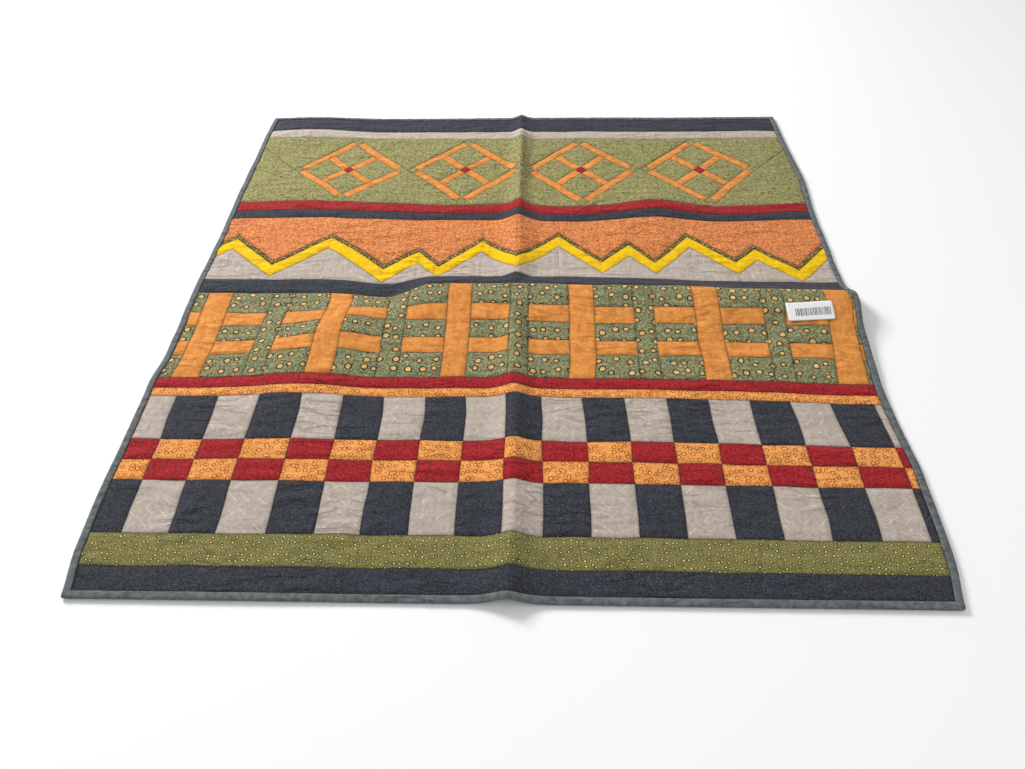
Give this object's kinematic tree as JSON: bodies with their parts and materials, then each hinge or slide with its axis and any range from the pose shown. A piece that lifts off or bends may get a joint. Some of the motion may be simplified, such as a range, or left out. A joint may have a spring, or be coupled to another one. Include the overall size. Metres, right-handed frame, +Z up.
{
  "type": "quilt",
  "caption": "Pieced lap quilt in bands of diamonds, zigzag, double crosses and checkers, laid flat, folding in half along its middle ridge.",
  "frame": {"origin": "on the floor under the middle of the quilt, below the middle of its centre ridge", "axes": "+X across the quilt, +Y along it from its near edge to its far edge, +Z up"},
  "size_m": [1.156, 1.216, 0.0198],
  "materials": {
    "charcoal_print": "matte woven cotton",
    "grey_print": "matte woven cotton",
    "olive_mottled": "matte woven cotton",
    "orange_tan": "matte woven cotton",
    "crimson": "matte woven cotton",
    "coral_print": "matte woven cotton",
    "piping_olive": "matte woven cotton",
    "yellow": "matte woven cotton",
    "green_dotted": "matte woven cotton",
    "orange_ring_print": "matte woven cotton",
    "olive_dotted": "matte woven cotton",
    "binding_slate": "matte woven cotton",
    "backing_slate": "matte woven cotton",
    "batting_white": "matte woven cotton",
    "label_paper": "matte printed paper"
  },
  "bodies": {
    "right_half": {"backing_right": "backing_slate", "batting_right": "batting_white", "binding_far_right": "binding_slate", "binding_near_right": "binding_slate", "binding_side_right": "binding_slate", "checker_charcoal_right": "charcoal_print", "checker_grey_right": "grey_print", "checker_orange_right": "orange_ring_print", "checker_red_right": "crimson", "cross_bars_right": "orange_tan", "cross_ground_right": "green_dotted", "diamond_bars_right": "orange_tan", "diamond_centres_right": "crimson", "diamond_ground_right": "olive_mottled", "dotted_olive_strip_right": "olive_dotted", "far_border_right": "charcoal_print", "far_charcoal_strip_right": "charcoal_print", "far_grey_strip_right": "grey_print", "far_red_strip_right": "crimson", "middle_charcoal_strip_right": "charcoal_print", "near_border_right": "charcoal_print", "near_orange_strip_right": "orange_ring_print", "near_red_strip_right": "crimson", "price_label": "label_paper", "zigzag_hills_right": "grey_print", "zigzag_piping_right": "piping_olive", "zigzag_ribbon_right": "yellow", "zigzag_sky_right": "coral_print"},
    "left_half": {"backing_left": "backing_slate", "batting_left": "batting_white", "binding_far_left": "binding_slate", "binding_near_left": "binding_slate", "binding_side_left": "binding_slate", "checker_charcoal_left": "charcoal_print", "checker_grey_left": "grey_print", "checker_orange_left": "orange_ring_print", "checker_red_left": "crimson", "cross_bars_left": "orange_tan", "cross_ground_left": "green_dotted", "diamond_bars_left": "orange_tan", "diamond_centres_left": "crimson", "diamond_ground_left": "olive_mottled", "dotted_olive_strip_left": "olive_dotted", "far_border_left": "charcoal_print", "far_charcoal_strip_left": "charcoal_print", "far_grey_strip_left": "grey_print", "far_red_strip_left": "crimson", "middle_charcoal_strip_left": "charcoal_print", "near_border_left": "charcoal_print", "near_orange_strip_left": "orange_ring_print", "near_red_strip_left": "crimson", "zigzag_hills_left": "grey_print", "zigzag_piping_left": "piping_olive", "zigzag_ribbon_left": "yellow", "zigzag_sky_left": "coral_print"}
  },
  "joints": [
    {"name": "centre_fold", "type": "hinge", "parent": "right_half", "child": "left_half", "pos_m": [0, 0, 0.021], "axis": [0, 1, 0], "range_deg": [0, 179.5]}
  ]
}
